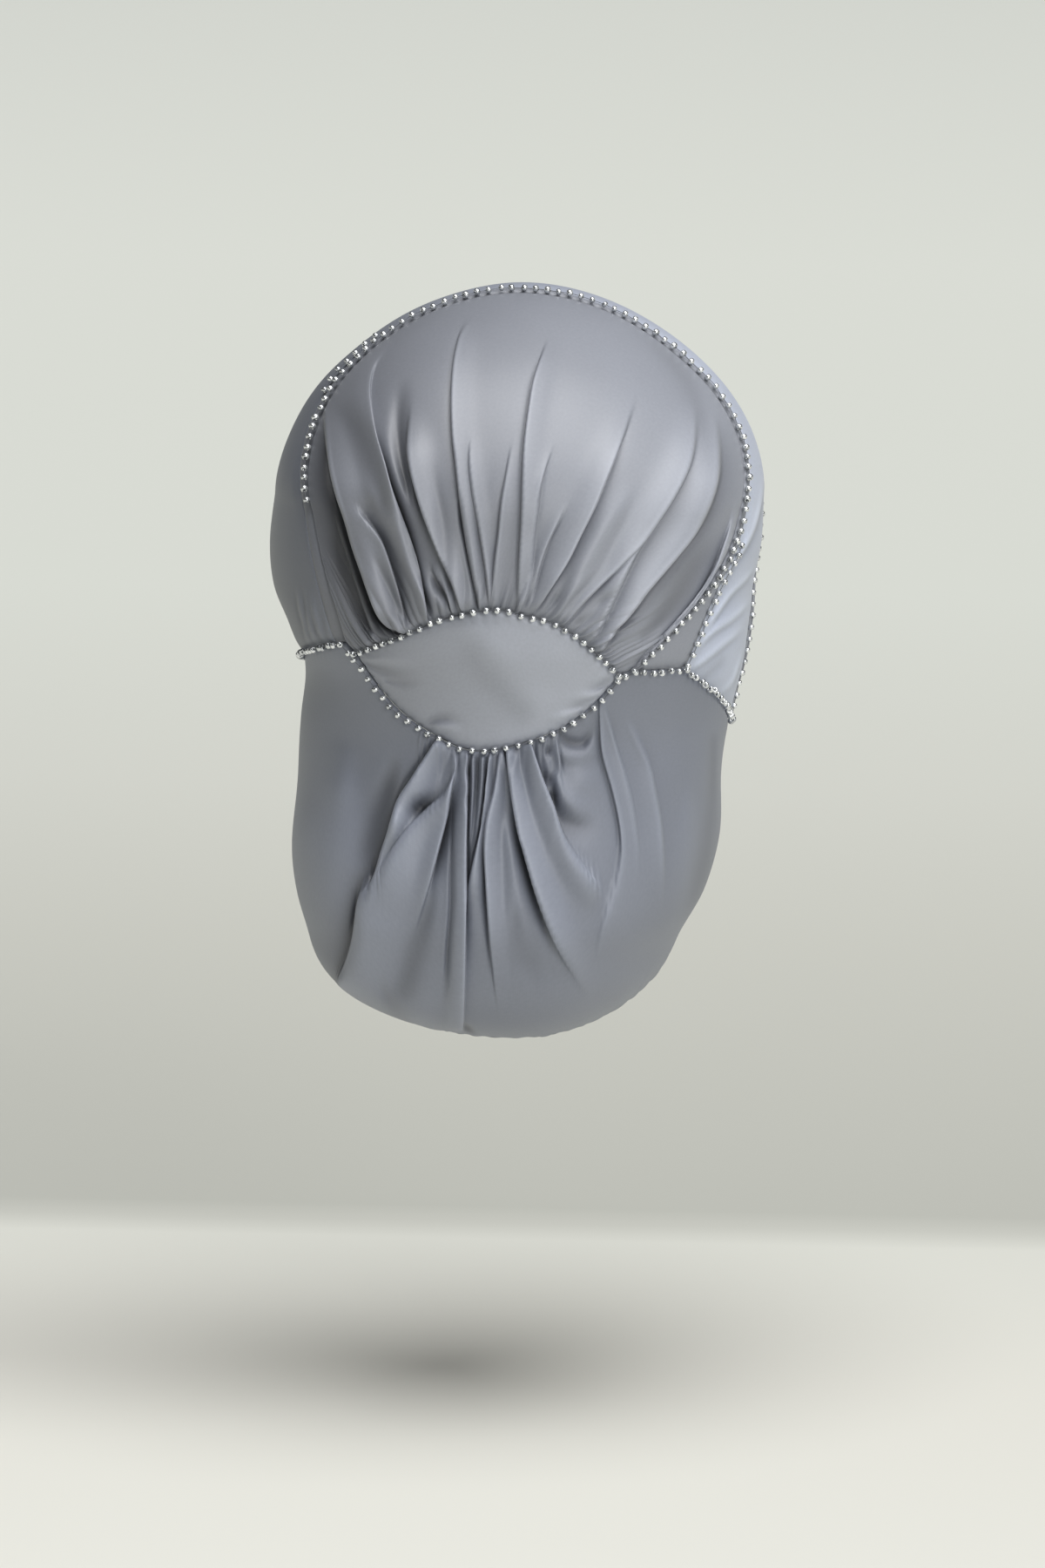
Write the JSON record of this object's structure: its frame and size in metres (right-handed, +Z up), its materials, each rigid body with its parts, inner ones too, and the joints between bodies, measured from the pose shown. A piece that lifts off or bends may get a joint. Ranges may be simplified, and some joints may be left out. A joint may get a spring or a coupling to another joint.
{
  "type": "pleated turban bonnet",
  "caption": "Soft satin turban bonnet with a gathered crown, a smooth almond-shaped back patch, a hanging pleated hair pouch and strings of small silver beads along its seams.",
  "frame": {"origin": "middle of the head hollow at brow level, where the turban sits on the head", "axes": "+Z up, -Y towards the face, +X to the wearer's left"},
  "size_m": [0.1935, 0.2221, 0.2901],
  "materials": {
    "satin": "matte steel-grey satin with a soft sheen",
    "silver_beads": "glossy silver-lined glass"
  },
  "bodies": {
    "root": {"crown_panel": "satin", "crown_strip": "satin", "side_band": "satin", "front_band": "satin", "back_patch": "satin", "pouch": "satin", "hem": "satin", "bead_row_crown": "silver_beads", "bead_row_strip_left": "silver_beads", "bead_row_strip_right": "silver_beads", "bead_row_band": "silver_beads", "bead_row_patch_top": "silver_beads", "bead_row_patch_bottom": "silver_beads", "bead_row_left": "silver_beads", "bead_row_right": "silver_beads"}
  },
  "joints": []
}
